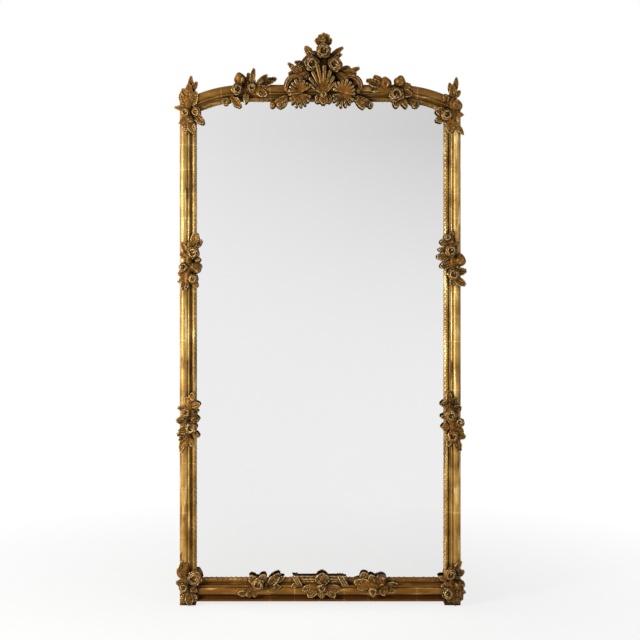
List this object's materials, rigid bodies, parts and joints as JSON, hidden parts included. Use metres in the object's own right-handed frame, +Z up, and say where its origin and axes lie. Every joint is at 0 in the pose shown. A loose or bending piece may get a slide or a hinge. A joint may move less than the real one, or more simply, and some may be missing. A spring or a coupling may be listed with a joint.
{
  "type": "overmantel mirror",
  "caption": "Tall gilt overmantel mirror with a shouldered arch top, moulded frame, carved floral crest and sprays, and hanging rings on a boarded back.",
  "frame": {"origin": "middle of the back, on the wall plane, half-way up the moulded frame: the centre of the cross batten's rear face", "axes": "+Z up, +Y into the wall, so the glass faces -Y; +X to the right as seen from the front"},
  "size_m": [0.9163, 0.0835, 1.7996],
  "materials": {
    "gilt_moulding": "water-gilt gold leaf over red clay, rubbed and toned brown in the hollows",
    "gilt_ornament": "gilt carved and cast ornament, darker bronze-brown patina with bright high points",
    "silvered_glass": "silvered plate glass",
    "pine": "old unfinished pine, browned with age",
    "iron": "dark forged iron",
    "steel_screws": "dulled steel"
  },
  "bodies": {
    "frame": {"backboard_1": "pine", "backboard_2": "pine", "backboard_3": "pine", "backboard_4": "pine", "backboard_5": "pine", "backboard_6": "pine", "backboard_7": "pine", "backboard_screws": "steel_screws", "base_rail": "gilt_moulding", "base_ribbon": "gilt_ornament", "base_spray_left": "gilt_ornament", "base_spray_right": "gilt_ornament", "batten_screws": "steel_screws", "brace_screws": "steel_screws", "carcass_bottom": "pine", "carcass_left": "pine", "carcass_right": "pine", "carcass_top": "pine", "cluster_left_lower": "gilt_ornament", "cluster_left_upper": "gilt_ornament", "cluster_right_lower": "gilt_ornament", "cluster_right_upper": "gilt_ornament", "corner_bottom_left": "gilt_ornament", "corner_bottom_right": "gilt_ornament", "corner_keys": "pine", "corner_top_left": "gilt_ornament", "corner_top_right": "gilt_ornament", "crest_backplate": "pine", "crest_brace": "iron", "crest_bud": "gilt_ornament", "crest_drop_left": "gilt_ornament", "crest_drop_right": "gilt_ornament", "crest_leaves_left": "gilt_ornament", "crest_leaves_right": "gilt_ornament", "crest_palmette": "gilt_ornament", "crest_roses": "gilt_ornament", "crest_shell_left": "gilt_ornament", "crest_shell_right": "gilt_ornament", "cross_batten": "pine", "foot_left": "gilt_moulding", "foot_right": "gilt_moulding", "glazing_blocks": "pine", "hanger_left": "iron", "hanger_right": "iron", "hanger_screws": "steel_screws", "mirror_glass": "silvered_glass", "moulding_bottom": "gilt_moulding", "moulding_left": "gilt_moulding", "moulding_right": "gilt_moulding", "moulding_top": "gilt_moulding", "setting_pads": "pine", "sight_slip_bottom": "gilt_moulding", "sight_slip_left": "gilt_moulding", "sight_slip_right": "gilt_moulding", "sight_slip_top": "gilt_moulding", "spray_left": "gilt_ornament", "spray_right": "gilt_ornament", "wall_strips": "pine"},
    "ring_left": {"hanging_ring_left": "iron"},
    "ring_right": {"hanging_ring_right": "iron"}
  },
  "joints": [
    {"name": "ring_left_swing", "type": "hinge", "parent": "frame", "child": "ring_left", "pos_m": [-0.421, -0.0056, 0.45], "axis": [1, 0, 0], "range_deg": [0, 180]},
    {"name": "ring_right_swing", "type": "hinge", "parent": "frame", "child": "ring_right", "pos_m": [0.421, -0.0056, 0.45], "axis": [1, 0, 0], "range_deg": [0, 180]}
  ]
}
